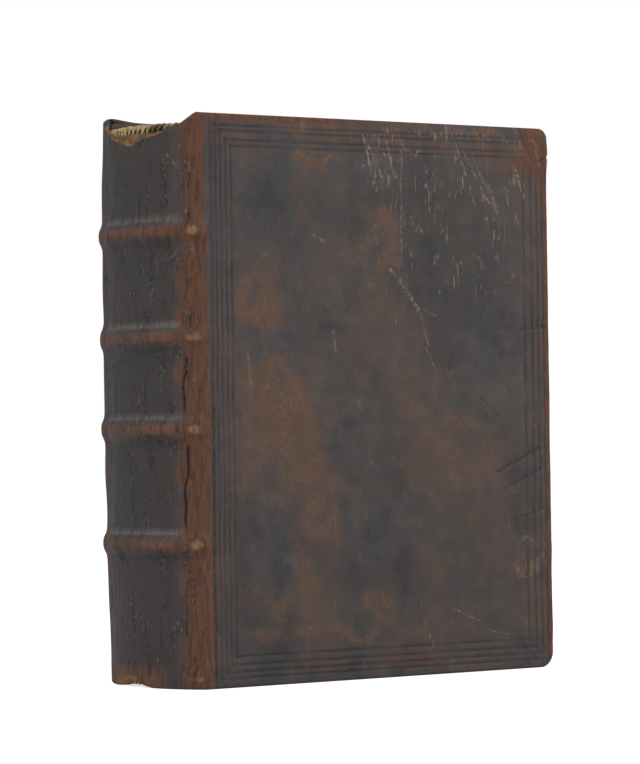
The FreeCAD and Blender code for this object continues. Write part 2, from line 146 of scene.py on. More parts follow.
DARK = {
    "front": [
        (35, 205, 24, 24, 0.5), (120, 205, 38, 18, 0.6), (150, 170, 36, 30, 0.6), (75, 145, 26, 14, 0.4),
        (95, 45, 36, 18, 0.5), (150, 60, 34, 26, 0.3), (20, 50, 9, 30, 0.5), (100, 100, 14, 22, 0.3),
        (122, 165, 14, 30, 0.45), (70, 200, 20, 12, 0.4),
    ],
    "back": [(100, 180, 50, 40, 0.5), (90, 40, 60, 25, 0.4)],
}
TAN = [
    (179, 57, 4, 4, 0.6), (186, 46, 5, 5, 0.6), (192.5, 22, 2.4, 10, 0.95), (60, 222.5, 8, 1.6, 0.5),
    (97, 188, 8, 11, 0.3), (121, 154, 6, 10, 0.25), (100, 226, 8, 8, 0.4), (45, 118, 10, 9, 0.4),
    (58, 64, 6, 9, 0.35), (80, 22, 14, 3, 0.4), (191, 227, 4, 9, 0.6), (46, 166, 4, 3, 0.5),
    (30, 158, 6, 7, 0.35), (40, 100, 8, 8, 0.35), (182, 232, 8, 4, 0.4),
]

# Pressed creases of the front cover: from x and z to x and z, and their depth.
CREASES = [
    (162, 87.5, 188, 98.0, 0.5), (166, 80.0, 187, 88.0, 0.35), (176, 150, 191.5, 151.5, 0.4),
    (150, 121, 163, 112, 0.2), (172, 66.0, 190, 71.0, 0.25),
]

# Scratches of the calf: from s and z to s and z, half width and strength; s runs round the book.
SCRATCHES = [
    (109.3, 230, 108.5, 177, 0.40, 0.6), (88, 233, 92, 219, 0.5, 0.9), (91, 229, 99, 214, 0.5, 0.8),
    (97, 232, 93.5, 212, 0.45, 0.7), (100, 226, 108, 213, 0.45, 0.7), (101.5, 231, 104, 220, 0.5, 0.8),
    (86.5, 220, 97, 223, 0.4, 0.6), (102.1, 176.1, 112, 166, 0.5, 0.8), (110, 168, 119.3, 157.6, 0.45, 0.7),
    (114.8, 162.8, 121, 152, 0.4, 0.5), (117, 160, 127.5, 156, 0.35, 0.4), (120, 153, 123, 143, 0.4, 0.5),
    (121.2, 142.9, 127, 133, 0.35, 0.4), (129, 133, 135, 131, 0.35, 0.3), (136, 132, 134, 122.8, 0.35, 0.3),
    (140, 232, 146, 218, 0.45, 0.8), (144, 229, 159, 206, 0.4, 0.7), (151, 224, 164, 201, 0.4, 0.6),
    (148, 213, 151, 204, 0.4, 0.6), (159, 214, 163, 205, 0.5, 0.7), (24, 140, 26, 122, 0.35, 0.5),
    (70, 150, 72, 140, 0.35, 0.5), (136, 28, 152, 22, 0.4, 0.5), (118, 24, 124, 12, 0.35, 0.6),
    (155, 18, 167, 16, 0.4, 0.6), (60, 190, 66, 187, 0.5, 0.6), (174, 222, 180, 209, 0.5, 0.8),
    (168, 214, 171, 204, 0.4, 0.7), (-13, 221, -9, 217, 0.45, 0.5), (-16, 224, -11.5, 219, 0.35, 0.5),
]


def smooth(low, high, x):
    """Smooth step: 0 at low, 1 at high, and level at both ends."""
    t = np.clip((x - low) / (high - low), 0, 1)
    return t * t * (3 - 2 * t)


def hump(x, middle, half):
    """Bell: exp of minus the squared distance from the middle over half."""
    return np.exp(-((x - middle) / half) ** 2)


def profile(rows, place):
    """Value read off rows of (place, value), straight between them."""
    return np.interp(place, rows[:, 0], rows[:, 1])


def at_bands(z, rise, half):
    """A bell at each raised band, rise mm above its middle."""
    return sum(hump(z, band + rise, half) for band in BANDS)


def ripple(across, up, size, seed, waves=18):
    """Seeded unevenness: the sum of sine waves with random headings, about size mm long."""
    draw = np.random.default_rng(seed)
    total = np.zeros(np.broadcast(across, up).shape)
    for heading, length, phase in zip(draw.uniform(0, math.pi, waves), draw.uniform(0.7, 1.8, waves),
                                      draw.uniform(0, 2 * math.pi, waves)):
        step = 2 * math.pi / (size * length)
        total += np.sin(step * (across * math.cos(heading) + up * math.sin(heading)) + phase)
    return total / math.sqrt(waves / 2)


def spots(across, up, places):
    """Soft patches joined: each is a bell round (across, up) with two half sizes and a strength."""
    kept = np.ones(np.broadcast(across, up).shape)
    for s, z, half_s, half_z, strength in places:
        reach = ((across - s) / half_s) ** 2 + ((up - z) / half_z) ** 2
        kept = kept * (1 - strength * np.exp(-reach ** 1.4))
    return 1 - kept


def steps(*runs):
    """Grid values: runs of (start, end, spacing) put end to end."""
    parts = []
    for start, end, spacing in runs:
        count = max(1, round((end - start) / spacing))
        parts.append(np.linspace(start, end, count, endpoint=False))
    return np.concatenate(parts + [[runs[-1][1]]])


def mesh_object(name, points, faces, body=None, masks=None):
    """New object from points in millimetres, faces as rows of four indices, and vertex masks."""
    mesh = bpy.data.meshes.new(name)
    mesh.from_pydata((points * MM).tolist(), [], faces.tolist())
    for mask, values in (masks or {}).items():
        kind = "FLOAT_VECTOR" if np.ndim(values) == 2 else "FLOAT"
        field = "vector" if kind == "FLOAT_VECTOR" else "value"
        attribute = mesh.attributes.new(mask, kind, "POINT")
        attribute.data.foreach_set(field, np.asarray(values, np.float32).ravel())
    mesh.polygons.foreach_set("use_smooth", np.ones(len(faces), bool))
    mesh.update()
    piece = bpy.data.objects.new(name, mesh)
    bpy.context.scene.collection.objects.link(piece)
    if body:
        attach(piece, body)
    return piece


def grid_faces(rows, columns, wrap=False, first=0):
    """Faces of a grid whose points run along each row; wrap joins the last column to the first."""
    across = columns if wrap else columns - 1
    row, column = np.meshgrid(np.arange(rows - 1), np.arange(across), indexing="ij")
    after = (column + 1) % columns
    corners = (row * columns + column, row * columns + after,
               (row + 1) * columns + after, (row + 1) * columns + column)
    return first + np.stack([corner.ravel() for corner in corners], axis=1)


# The leather's plan: a point and the inward direction for each distance round the book.

def round_end():
    """Angle on the spine's arc, and x on the cover's face, where the joint's small round meets them."""
    middle_y = FACE - JOINT_ROUND
    reach = BACK_RADIUS - JOINT_ROUND
    middle_x = AXIS - math.sqrt(reach ** 2 - middle_y ** 2)
    return math.asin(middle_y / reach), middle_x


def plan(s):
    """Front half of the plan, s mm from the middle of the joint's round: arc, round, straight face."""
    turned, face_x = round_end()
    bend = (math.pi / 2 - turned) * JOINT_ROUND
    on_arc = turned + (s + bend / 2) / BACK_RADIUS
    in_round = turned + np.clip(s + bend / 2, 0, bend) / JOINT_ROUND
    middle_y = FACE - JOINT_ROUND
    arc = s < -bend / 2
    flat = s > bend / 2
    x = np.where(arc, AXIS - BACK_RADIUS * np.cos(on_arc), face_x - JOINT_ROUND * np.cos(in_round))
    y = np.where(arc, -BACK_RADIUS * np.sin(on_arc), -middle_y - JOINT_ROUND * np.sin(in_round))
    x = np.where(flat, face_x + s - bend / 2, x)
    heading = np.where(arc, on_arc, in_round)
    return x, y, np.cos(heading), np.sin(heading)


def face_start():
    """s at which the cover's flat face has the hinge line's x, so that s - this is x - JOINT."""
    turned, face_x = round_end()
    bend = (math.pi / 2 - turned) * JOINT_ROUND
    return bend / 2 + JOINT - face_x


def spine_middle():
    """s at the middle of the spine: half of the arc and half of the joint's round from the front joint."""
    turned, _ = round_end()
    return -turned * BACK_RADIUS - (math.pi / 2 - turned) * JOINT_ROUND / 2


def past_joint(girth):
    """Distance past the nearer joint, on the covers; negative on the spine."""
    return np.abs(girth - spine_middle()) - abs(spine_middle())


def band_height(girth, z):
    """Raised bands: a flat-topped bell over each cord, lower at the joints, fading on the cover."""
    past = past_joint(girth)
    tall = 2.7 - 1.1 * smooth(-22.0, -1.0, past)
    tall = tall * (1 - smooth(0.2, 5.5, past))
    total = 0
    for number, band in enumerate(BANDS):
        sag = 0.5 * np.sin(0.09 * girth + number)
        wide = 4.3 + 0.25 * np.sin(0.21 * girth + 2 * number)
        total = total + tall * np.exp(-np.abs((z - band - sag) / wide) ** 3.0)
    return total


def back_swelling(girth, z):
    """The shoulder at the back joint stands out between head and tail, by up to 2.3 mm."""
    tall = np.interp(z, [0, 20, 60, 110, 170, 215, 232, 240], [0, 0.9, 1.7, 2.2, 2.3, 2.0, 1.1, 0.6])
    return tall * hump(girth, 2 * spine_middle(), 6.5)


def lines_depth(x, z):
    """Blind lines of a cover as rounded grooves; x is measured from the hinge line."""
    depth = 0
    half = 0.55
    for joint, tail, fore_edge, head in zip(*LINES.values()):
        for offset in (x - joint, x - (WIDTH - fore_edge)):
            depth = depth + np.exp(-(offset / half) ** 2) * (z > tail - 1) * (z < HEIGHT - head + 1)
        for offset in (z - tail, z - (HEIGHT - head)):
            depth = depth + np.exp(-(offset / half) ** 2) * (x > joint - 1) * (x < WIDTH - fore_edge + 1)
    pressed = 0.55 + 0.45 * smooth(-0.9, 0.6, ripple(x, z, 26, 27))
    return np.minimum(depth, 1.1) * pressed * (1 - 0.75 * smooth(168, 182, x) * smooth(212, 226, z))


def ridge_rub(x, z):
    """Rubbed ridges between neighbouring blind lines, 0 to 1, stronger at the tail and the head."""
    total = 0 * x
    for side, place, share in (("joint", x, 0.55), ("fore_edge", WIDTH - x, 0.6),
                               ("tail", z, 1.0), ("head", HEIGHT - z, 0.9)):
        lines = LINES[side]
        for first, second in zip(lines, lines[1:]):
            total = np.maximum(total, share * hump(place, (first + second) / 2, 0.27 * (second - first)))
    return total * smooth(-0.9, 0.8, ripple(x, z, 30, 57))


def cover_relief(x, z, seed):
    """Height of a cover's skin over its board: lines, dents and a worn joint crease."""
    relief = -0.24 * lines_depth(x, z)
    relief = relief - (0.25 + 0.3 * smooth(150, 100, z)) * hump(x, 5.3, 0.9) * smooth(0, 6, z)
    relief = relief + 0.4 * hump(x, 2.6, 1.7) - 0.2 * hump(x, 1.0, 0.45)
    relief = relief + 0.13 * ripple(x, z, 34, seed) + 0.06 * ripple(x, z, 11, seed + 1)
    worn = smooth(30, 0, z) + smooth(HEIGHT - 30, HEIGHT, z) + smooth(WIDTH - 30, WIDTH, x)
    relief = relief + 0.05 * worn * ripple(x, z, 5, seed + 2)
    return relief


def corner_swelling(x, z):
    """The front head corner has been knocked: a swollen pad with two folds."""
    pad = smooth(158, 176, x) * smooth(214, 228, z) * (1 - 0.6 * smooth(232, 240, z))
    folds = hump(x + 0.35 * (z - 236), 178.0, 1.1) * smooth(226, 233, z)
    folds = folds + hump(z - 0.5 * (x - 190), 225.5, 0.9) * smooth(183, 189, x)
    return 0.95 * pad - 0.8 * folds


def creases(x, z):
    """Long pressed creases near the fore-edge of the front cover."""
    total = 0
    for x0, z0, x1, z1, deep in CREASES:
        length = math.hypot(x1 - x0, z1 - z0)
        along = ((x - x0) * (x1 - x0) + (z - z0) * (z1 - z0)) / length
        off = ((x - x0) * (z1 - z0) - (z - z0) * (x1 - x0)) / length
        off = off + 0.8 * np.sin(along / 4.5)
        inside = smooth(-2, 3, along) * (1 - smooth(length - 3, length + 2, along))
        total = total + deep * inside * (hump(off, 0, 1.0) - 0.5 * hump(off, 2.0, 1.2))
    return -total


def spine_relief(girth, z):
    """Height of the spine's skin: upright wrinkles, slack places, and the split beside the front joint."""
    upright = 0.035 * ripple(girth * 7.0, z * 0.5, 30, 31) + 0.025 * ripple(girth * 14.0, z * 0.7, 30, 32)
    slack = 0.13 * ripple(girth, z, 26, 33)
    rough = 0.10 * smooth(-10, -4, girth) * ripple(girth * 3.0, z, 9, 34)
    lengths = smooth(112, 120, z) * smooth(141, 136, z) + smooth(64, 71, z) * smooth(104, 98, z)
    lengths = lengths + 0.45 * smooth(12, 22, z) * smooth(60, 40, z)
    slit = -0.7 * hump(girth, -7.4 + 0.9 * np.sin(z / 7.0) + 0.4 * np.sin(z / 2.3), 0.55) * lengths
    return upright + slack + rough + slit


def edge_profile(step, deep, down):
    """Wrap over an edge: (inwards, below the top) for a step from 0 to 4.

    0 to 1 is a quarter round outside, 1 to 2 the flat edge, 2 to 3 a small round, 3 to 4 straight
    down inside; deep is the width of the whole edge, down the length inside.
    """
    outer = np.minimum(EDGE_ROUND, 0.5 * deep)
    inner = np.minimum(0.45, 0.5 * deep)
    turn_1 = np.clip(step, 0, 1) * math.pi / 2
    run = np.clip(step - 1, 0, 1)
    turn_2 = np.clip(step - 2, 0, 1) * math.pi / 2
    inwards = outer * (1 - np.cos(turn_1)) + run * (deep - outer - inner) + inner * np.sin(turn_2)
    below = outer * (1 - np.sin(turn_1)) + inner * (1 - np.cos(turn_2))
    below = below + np.clip(step - 3, 0, 1) * down
    return inwards, below


RIM_STEPS = np.concatenate([np.linspace(0, 1, 5)[1:], [1.35, 1.7, 2.0, 2.5, 3.0, 4.0]])


def calf_points(s_values, z_values, seed, is_front):
    """The calf of one half: spine strip, joint and cover, wrapped over head, tail and fore-edge.

    Columns follow the plan and rows the height. Past the face's edges the same edge profile runs
    inwards, and at the two fore-edge corners square rings of the grid become rings of an arc.
    """
    start = face_start()
    columns = np.concatenate([s_values, np.full(len(RIM_STEPS), s_values[-1])])
    over_side = np.concatenate([np.zeros(len(s_values)), RIM_STEPS])
    rows = np.concatenate([np.full(len(RIM_STEPS), z_values[0]), z_values,
                           np.full(len(RIM_STEPS), z_values[-1])])
    over_end = np.concatenate([RIM_STEPS[::-1], np.zeros(len(z_values)), RIM_STEPS])
    s, z = np.meshgrid(columns, rows)
    side, end = np.meshgrid(over_side, over_end)
    high = z > HEIGHT / 2
    x = s - start

    # Torn and chipped ends of the spine: the rows draw down to a ragged edge.
    girth = s if is_front else 2 * spine_middle() - s
    ragged = 0.22 * ripple(girth, 0 * s, 5.0, 41) + 0.14 * ripple(girth, 0 * s, 2.2, 42)
    ragged = ragged * smooth(-2, -8, girth) * smooth(-72, -64, girth)
    torn = profile(TEAR, girth) + ragged
    chipped = profile(CHIP, girth)
    on_spine = s < 1.0
    top = np.where(on_spine, torn, HEIGHT)
    foot = np.where(on_spine, chipped, 0)
    low_z, high_z = z_values[0], z_values[-1]
    head_reach, tail_reach = 18, 12
    pulled_up = np.clip((z - (HEIGHT - head_reach)) / (high_z - HEIGHT + head_reach), 0, 1)
    pulled_down = np.clip((tail_reach - z) / (tail_reach - low_z), 0, 1)
    z_skin = z + pulled_up * (top - HEIGHT) + pulled_down * foot
    z_skin = z_skin + smooth(0.3, 1, pulled_up) * (HEIGHT - high_z) * smooth(HEIGHT - 2, HEIGHT - 6, top)

    worn_lip = smooth(HEIGHT - 1.0, HEIGHT - 4.0, top) * on_spine
    deep_both = RIM + (SPINE_RIM - RIM) * smooth(1.5, -3, s)
    deep_high = deep_both + (TORN_RIM - deep_both) * worn_lip
    deep_low = deep_both + 2.2 * smooth(-8, -16, s)
    deep = np.where(high, deep_high, deep_low)
    down = np.where(high, RIM_DOWN + 2.5 * worn_lip, RIM_DOWN)

    plan_x, plan_y, inward_x, inward_y = plan(s)
    inwards, below = edge_profile(end, deep, down)
    lip_round = np.minimum(EDGE_ROUND, 0.5 * deep)
    level = np.where(high, top - below, foot + below)
    height = np.where(end > 0, level, z_skin)
    inset = np.where(end > 0, inwards, 0)

    # The last face row meets the start of the round that follows it.
    last = (end == 0) & (z == high_z)
    first = (end == 0) & (z == low_z)
    height = np.where(last, top - lip_round, height)
    height = np.where(first, foot + lip_round, height)

    # Fore-edge: the columns past the face go round by the same profile.
    side_in, side_back = edge_profile(side, RIM, RIM_DOWN)
    corner = np.where(high, HEAD_CORNER, TAIL_CORNER)
    middle_x = WIDTH - corner
    middle_z = np.where(high, HEIGHT - corner, corner)
    reach_x = np.where(side > 0, corner - EDGE_ROUND + side, x - middle_x)
    out_z = np.where(high, z - middle_z, middle_z - z)
    reach_z = np.where(end > 0, corner - EDGE_ROUND + end, out_z)
    in_corner = (reach_x > 0) & (reach_z > 0)
    ring = np.maximum(reach_x, reach_z)
    lesser = np.minimum(reach_x, reach_z) / np.maximum(ring, 1e-9)
    angle = np.where(reach_z > reach_x, math.pi / 2 - lesser * math.pi / 4, lesser * math.pi / 4)
    over = np.clip(ring - (corner - EDGE_ROUND), 0, None)
    ring_in, ring_back = edge_profile(over, RIM, RIM_DOWN)
    radius = np.where(over > 0, corner - ring_back, ring)
    corner_x = middle_x + radius * np.cos(angle)
    corner_z = np.where(high, middle_z + radius * np.sin(angle), middle_z - radius * np.sin(angle))

    face_x = np.where(side > 0, WIDTH - side_back, x)
    face_x = np.where(in_corner, corner_x, face_x)
    height = np.where(in_corner, corner_z, height)
    inset = np.where(in_corner, ring_in, np.where(side > 0, side_in, inset))

    # Relief stands out along the plan's outward direction, and dies in the wrapped edges.
    fade = 1 - smooth(0, 1, np.maximum(side, np.maximum(end, np.where(in_corner, over, 0))))
    spine_part = 1 - smooth(-1.5, 3.0, s)
    relief = spine_part * spine_relief(girth, height)
    relief = relief + (1 - spine_part) * cover_relief(face_x, height, seed)
    relief = relief + band_height(girth, height)
    if is_front:
        relief = relief + (1 - spine_part) * (corner_swelling(face_x, height) + creases(face_x, height))
    relief = relief * fade
    base_x = np.where(s > start, JOINT + face_x, plan_x)
    swelling = back_swelling(girth, height)
    sideways = 0.1 if is_front else -0.1
    out_x = base_x + inward_x * (inset - relief) - swelling
    out_y = plan_y + inward_y * (inset - relief) + sideways * swelling
    lift = 1.5 * hump(girth, 2 * spine_middle(), 9.0) * smooth(212, 240, height)
    points = np.stack([out_x, out_y, height + lift], axis=-1)
    return points, girth, face_x, height, np.maximum(side, end)


def calf_masks(girth, x, z, wrapped, is_front):
    """Where the calf is rubbed, brown, tan, dark or painted with shade, torn or pressed, and where a
    highlight is painted above the bands, from the place on the skin.
    """
    past = past_joint(girth)
    on_cover = smooth(-1.0, 3.0, past)
    spine = 1 - on_cover
    front_side = 0.35 + 0.65 * smooth(-52, -18, girth)
    crest = at_bands(z, 0.2, 3.2) * spine
    left = profile(RUB_ON_SPINE, z)
    right = profile(RUB_ON_COVER, z)
    wander = 1.1 * ripple(0 * z, z, 15, 51) + 0.6 * ripple(0 * z, z, 4.5, 52)
    joint_rub = smooth(-5.0, 4.0, past - left + wander) * smooth(2.4, -2.0, past - right + 0.35 * wander)
    band_ends = at_bands(z, 0, 5.5)
    joint_rub = np.maximum(joint_rub, 0.8 * band_ends * smooth(-22, -12, past) * smooth(4.5, 0.5, past))
    rub = np.maximum(crest * (0.95 - 0.25 * hump(girth, -38, 10)), joint_rub * front_side)
    rub = np.maximum(rub, 0.85 * spine * smooth(15, 4, z) * smooth(-10, -24, girth))
    rub = np.maximum(rub, 0.85 * spine * smooth(229, 237, z) * smooth(-22, -10, girth))
    edge_rub = 1.15 * smooth(WIDTH - 6.0, WIDTH - 2.0, x) + 0.35 * smooth(1.5, 0.0, z)
    edge_rub = edge_rub + 0.9 * smooth(HEIGHT - 5.2, HEIGHT - 1.2, z) * (1 - 0.55 * smooth(70, 110, x))
    rub = np.maximum(rub, on_cover * np.clip(edge_rub, 0, 0.95))
    rub = np.maximum(rub, 0.8 * on_cover * ridge_rub(x, z))
    pressed = on_cover * lines_depth(x, z) * (wrapped == 0)
    # Painted highlight: a narrow grey line just above each raised band, where its top would catch the light.
    painted_band_highlight = spine * at_bands(z, 4.9, 0.9) * (1 - smooth(-12, -7, past))

    # The patches of a cover are bells pulled out of round.
    warp_x = x + 4.5 * ripple(x, z, 24, 53) + 1.6 * ripple(x, z, 8, 54)
    warp_z = z + 4.5 * ripple(x, z, 24, 55) + 1.6 * ripple(x, z, 8, 56)
    side = "front" if is_front else "back"
    brown = on_cover * spots(warp_x, warp_z, BROWN[side])
    dark = on_cover * spots(warp_x, warp_z, DARK[side])
    dark = np.maximum(dark, spine * 0.6 * (1 - smooth(-16, -9, past)))
    masks = {"rub": rub, "brown": brown, "tan": 0 * x, "dark": dark, "torn": 0 * x, "pressed": pressed,
             "painted_band_highlight": painted_band_highlight}
    if not is_front:
        return masks

    # Only the front: a rubbed head corner, pale spots, shade under the bands and the torn ends.
    masks["rub"] = np.maximum(rub, 0.85 * on_cover * smooth(166, 184, x) * smooth(208, 227, z))
    tan = spots(girth, z, [(-2.8, band, 3.6, 2.6, 0.85) for band in BANDS] + [(-3, 4.5, 4, 1.6, 0.75)])
    masks["tan"] = np.maximum(tan, on_cover * spots(warp_x, warp_z, TAN))
    # Painted shade: a dark line just under each raised band, carried in the dark mask.
    below = at_bands(z, -5.0, 1.3)
    masks["dark"] = np.maximum(dark, spine * 0.95 * below * (1 - smooth(-14, -8, past)))
    edge = profile(TEAR, girth)
    deep = 1.5 + 1.8 * hump(girth, -38.5, 8.0) + 0.8 * smooth(-56, -62, girth)
    torn = spine * smooth(-69, -62, girth) * smooth(-12, -19, girth)
    torn = torn * np.maximum(smooth(deep, 0.3 * deep, edge - z) * (z > HEIGHT / 2),
                             (wrapped > 0) * (z > HEIGHT / 2))
    frayed = spine * smooth(4.6, 1.0, z - profile(CHIP, girth))
    masks["torn"] = np.maximum(torn, 0.9 * frayed * hump(girth, -46, 15))
    return masks


def turn_in_strip(outer, inner, rows, face):
    """A thin slab between an outer and an inner line, each (n, 2) of x and z, facing the leaves.

    Points run from the outer line to the inner line: up a small round, over, and down into the board.
    """
    share = np.concatenate([[0, 0], np.linspace(0, 1, rows), [1]])
    lift = np.concatenate([[0.55, 0.12], np.zeros(rows), [0.5]])
    share[1], share[2] = 0.0, 0.02
    flat = outer[None] * (1 - share[:, None, None]) + inner[None] * share[:, None, None]
    depth = np.broadcast_to(face - lift[:, None], flat.shape[:2])
    return np.stack([JOINT + flat[..., 0], depth, flat[..., 1]], axis=-1)


def corner_arc(middle, radius, start, stop, count):
    """Points on an arc round a cover's corner, as rows of x and z."""
    angle = np.linspace(start, stop, count)
    return np.stack([middle[0] + radius * np.cos(angle), middle[1] + radius * np.sin(angle)], axis=1)


def turn_ins(face):
    """The three turn-ins of one cover, mitred at the fore-edge corners."""
    gap, first = 0.35, 1.05
    half = math.pi / 4
    head = (WIDTH - HEAD_CORNER, HEIGHT - HEAD_CORNER)
    tail = (WIDTH - TAIL_CORNER, TAIL_CORNER)
    head_arc = corner_arc(head, HEAD_CORNER - gap, 2 * half, half, 6)
    head_arc_2 = corner_arc(head, HEAD_CORNER - gap, half, 0, 6)
    tail_arc = corner_arc(tail, TAIL_CORNER - gap, -2 * half, -half, 7)
    tail_arc_2 = corner_arc(tail, TAIL_CORNER - gap, -half, 0, 7)
    outlines = [
        (np.concatenate([[[first, HEIGHT - gap]], head_arc]), (first, HEIGHT - TURN_IN),
         (WIDTH - TURN_IN, HEIGHT - TURN_IN)),
        (np.concatenate([head_arc_2, tail_arc_2[::-1]]), (WIDTH - TURN_IN, HEIGHT - TURN_IN),
         (WIDTH - TURN_IN, TURN_IN)),
        (np.concatenate([[[first, gap]], tail_arc])[::-1], (WIDTH - TURN_IN, TURN_IN),
         (first, TURN_IN)),
    ]
    strips = []
    for outer, inner_start, inner_end in outlines:
        run = np.concatenate([[0], np.cumsum(np.hypot(*np.diff(outer, axis=0).T))])
        even = np.unique(np.concatenate([run, np.linspace(0, run[-1], 60)]))
        line = np.stack([np.interp(even, run, outer[:, 0]), np.interp(even, run, outer[:, 1])], axis=1)
        share = (even / run[-1])[:, None]
        inner = np.array(inner_start) * (1 - share) + np.array(inner_end) * share
        inner = inner + 0.7 * np.stack([ripple(even, 0 * even, 17, 61), ripple(even, 0 * even, 19, 62)], 1) \
            * np.sin(math.pi * share)
        strips.append(turn_in_strip(line, inner, 7, face))
    return strips


def calf_half(is_front, fine):
    """One half of the calf as points, faces and masks; the back half is the front's form mirrored."""
    middle = spine_middle()
    last = WIDTH + face_start() - EDGE_ROUND
    past_lines, before_lines, band_reach = 20, 176, 5.5
    if is_front:
        s_values = steps((2 * middle + SEAM, -13, 0.8), (-13, 5.0, 0.45), (5.0, past_lines, 0.42),
                         (past_lines, before_lines, 1.75 / fine), (before_lines, last, 0.5))
    else:
        s_values = steps((-SEAM, 5.0, 0.5), (5.0, past_lines, 0.5), (past_lines, before_lines, 3.2),
                         (before_lines, last, 0.6))
    level = 15.0
    runs = [(EDGE_ROUND, level, 0.45)]
    for band in BANDS:
        runs += [(level, band - band_reach, 2.0 / fine), (band - band_reach, band + band_reach, 0.72)]
        level = band + band_reach
    runs += [(level, 222, 2.0 / fine), (222, HEIGHT - EDGE_ROUND, 0.45)]
    z_values = steps(*runs)
    seed = 71 if is_front else 81
    points, girth, x, z, wrapped = calf_points(s_values, z_values, seed, is_front)
    rows, columns = points.shape[:2]
    masks = calf_masks(girth, x, z, wrapped, is_front)
    around = x + face_start() if is_front else 2 * middle - x - face_start()
    place = np.stack([np.where(past_joint(girth) > face_start(), around, girth), z, 0 * z], axis=-1)
    all_points = [points.reshape(-1, 3)]
    all_faces = [grid_faces(rows, columns)]
    all_masks = {name: [values.ravel()] for name, values in masks.items()}
    places = [place.reshape(-1, 3)]
    count = rows * columns
    inner_face = -(FACE - RIM - 0.12)
    turn_in_brown = 0.35
    for strip in turn_ins(inner_face):
        height, length = strip.shape[:2]
        flat = strip.reshape(-1, 3)
        all_points.append(flat)
        all_faces.append(grid_faces(height, length, first=count)[:, ::-1])
        for name in all_masks:
            all_masks[name].append(np.full(len(flat), turn_in_brown if name == "brown" else 0.0))
        strip_s = flat[:, 0] - JOINT
        if not is_front:
            strip_s = 2 * middle - strip_s
        places.append(np.stack([strip_s, flat[:, 2], 0 * strip_s], axis=1))
        count += len(flat)
    points = np.concatenate(all_points)
    faces = np.concatenate(all_faces)
    places = np.concatenate(places)
    if not is_front:
        points = points * np.array([1, -1, 1])
        faces = faces[:, ::-1]
    masks = {name: np.concatenate(parts) for name, parts in all_masks.items()}
    masks["skin_place"] = places
    return points, faces, masks


# Endbands and leaves.

def wound_thread(tall, foot, radius, pitch, tie_down, seed):
    """Thread wound round an endband: a circle carried along a helix that follows the spine's arc.

    The helix turns once each pitch along the arc; its own radius wavers a little from wrap to wrap.
    tie_down is how much further the wraps reach down outside, as a share of their radius.
    """
    core_radius = LEAF_RADIUS - tall / 2
    half_turn = math.asin(ENDBAND_HALF / LEAF_RADIUS)
    length = 2 * half_turn * core_radius
    turns = int(length / pitch)
    points_a_turn = 20
    count = turns * points_a_turn + 1
    along = np.linspace(-half_turn, half_turn, count)
    wrap = np.linspace(0, 2 * math.pi * turns, count)
    wave = ripple(along * core_radius, 0 * along, 3.5, seed)
    wind = tall / 2 - 0.8 * radius + 0.07 * wave
    lean = 0.30 * np.sin(wrap) * pitch / core_radius
    tied = tie_down * smooth(0.1, 0.9, np.cos(wrap)) * (np.sin(wrap) < 0)
    out = wind * np.cos(wrap) + 0.75 * smooth(-0.2, 0.8, np.cos(wrap))
    lift = wind * np.sin(wrap) * (1 + tied)
    angle = along + lean
    centre = np.stack([AXIS - (core_radius + out) * np.cos(angle), -(core_radius + out) * np.sin(angle),
                       foot + tall / 2 + lift], axis=1)
    ahead = np.gradient(centre, axis=0)
    ahead = ahead / np.linalg.norm(ahead, axis=1, keepdims=True)
    spoke = np.stack([-np.cos(wrap) * np.cos(angle), -np.cos(wrap) * np.sin(angle), np.sin(wrap)], axis=1)
    spoke = spoke - ahead * (spoke * ahead).sum(1, keepdims=True)
    spoke = spoke / np.linalg.norm(spoke, axis=1, keepdims=True)
    other = np.cross(ahead, spoke)
    sides = 8
    around = np.linspace(0, 2 * math.pi, sides, endpoint=False)
    thick = radius * (1 + 0.10 * ripple(along * core_radius, 0 * along, 0.9, seed + 1))[:, None, None]
    ring = np.cos(around)[None, :, None] * spoke[:, None] + np.sin(around)[None, :, None] * other[:, None]
    points = (centre[:, None] + thick * ring).reshape(-1, 3)
    faces = grid_faces(count, sides, wrap=True)
    masks = {"wrap": np.repeat(wrap / (2 * math.pi), sides), "strand": np.tile(around, count)}
    return points, faces, masks


